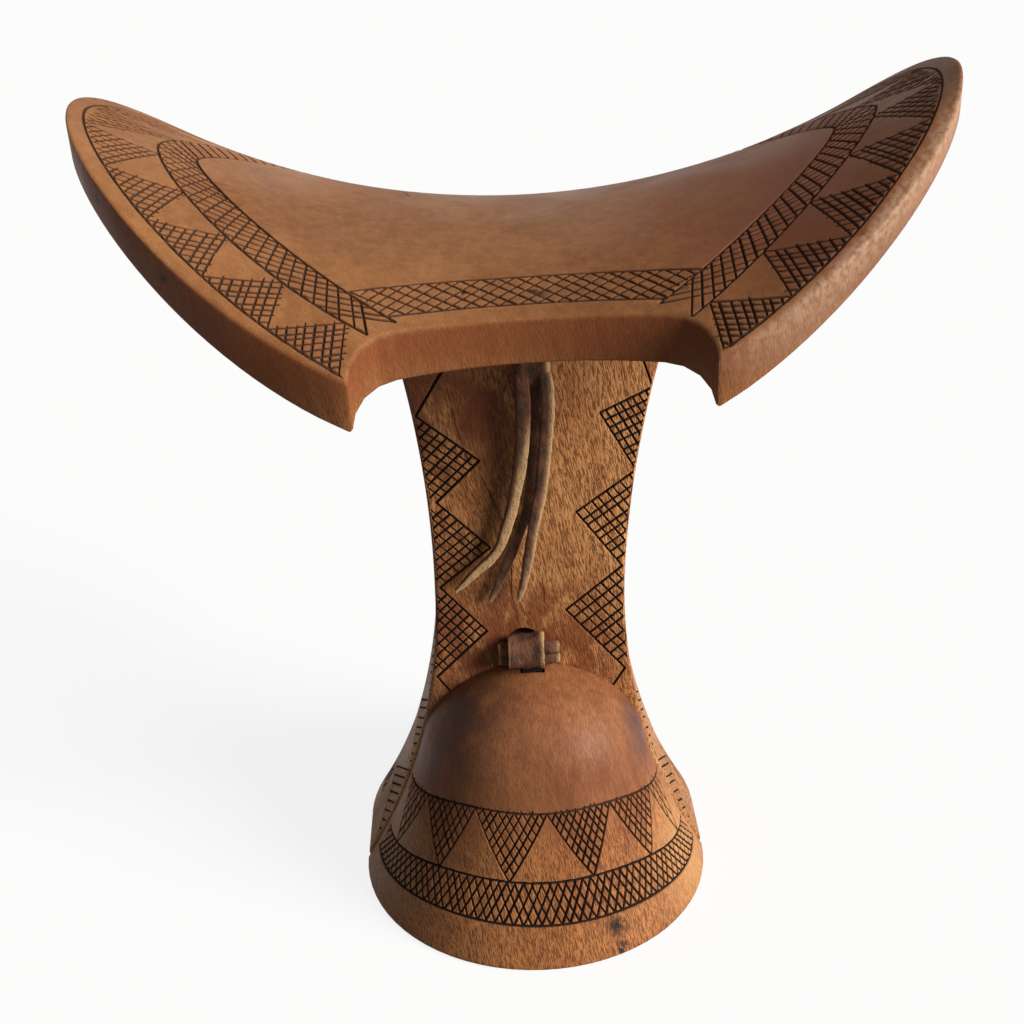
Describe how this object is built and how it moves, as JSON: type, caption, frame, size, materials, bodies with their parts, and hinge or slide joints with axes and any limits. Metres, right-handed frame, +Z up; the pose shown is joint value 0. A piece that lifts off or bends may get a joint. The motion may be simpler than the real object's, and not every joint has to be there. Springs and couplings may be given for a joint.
{
  "type": "carved wooden headrest",
  "caption": "Carved wooden headrest: a dished oval seat on a waisted column, with a hinged hollow half-bell lid on each face of its foot and leather ties.",
  "frame": {"origin": "middle of the slab's foot on the surface that the headrest stands on", "axes": "+Z up, +X to the right along the seat, the front with the thong tails looks along -Y"},
  "size_m": [0.1721, 0.1068, 0.1894],
  "materials": {
    "body_wood": "hand-carved and oiled warm brown wood, worn smooth",
    "lid_wood": "hand-carved and oiled brown wood, a little darker at the crown",
    "leather": "old dry rawhide leather, fuzzy at its cut edges"
  },
  "bodies": {
    "headrest": {"headrest_body": "body_wood", "hinge_thong": "leather", "upper_thong": "leather", "thong_stop_knot": "leather", "thong_tail_left": "leather", "thong_tail_middle": "leather", "thong_tail_right": "leather"},
    "front_cover": {"front_lid": "lid_wood", "front_hinge_band": "leather", "front_hinge_toggle": "leather"},
    "rear_cover": {"rear_lid": "lid_wood", "rear_hinge_band": "leather", "rear_hinge_toggle": "leather"}
  },
  "joints": [
    {"name": "front_lid_hinge", "type": "hinge", "parent": "headrest", "child": "front_cover", "pos_m": [0, -0.0085, 0.067], "axis": [-1, 0, 0], "range_deg": [0, 75]},
    {"name": "rear_lid_hinge", "type": "hinge", "parent": "headrest", "child": "rear_cover", "pos_m": [0, 0.0085, 0.067], "axis": [1, 0, 0], "range_deg": [0, 75]}
  ]
}
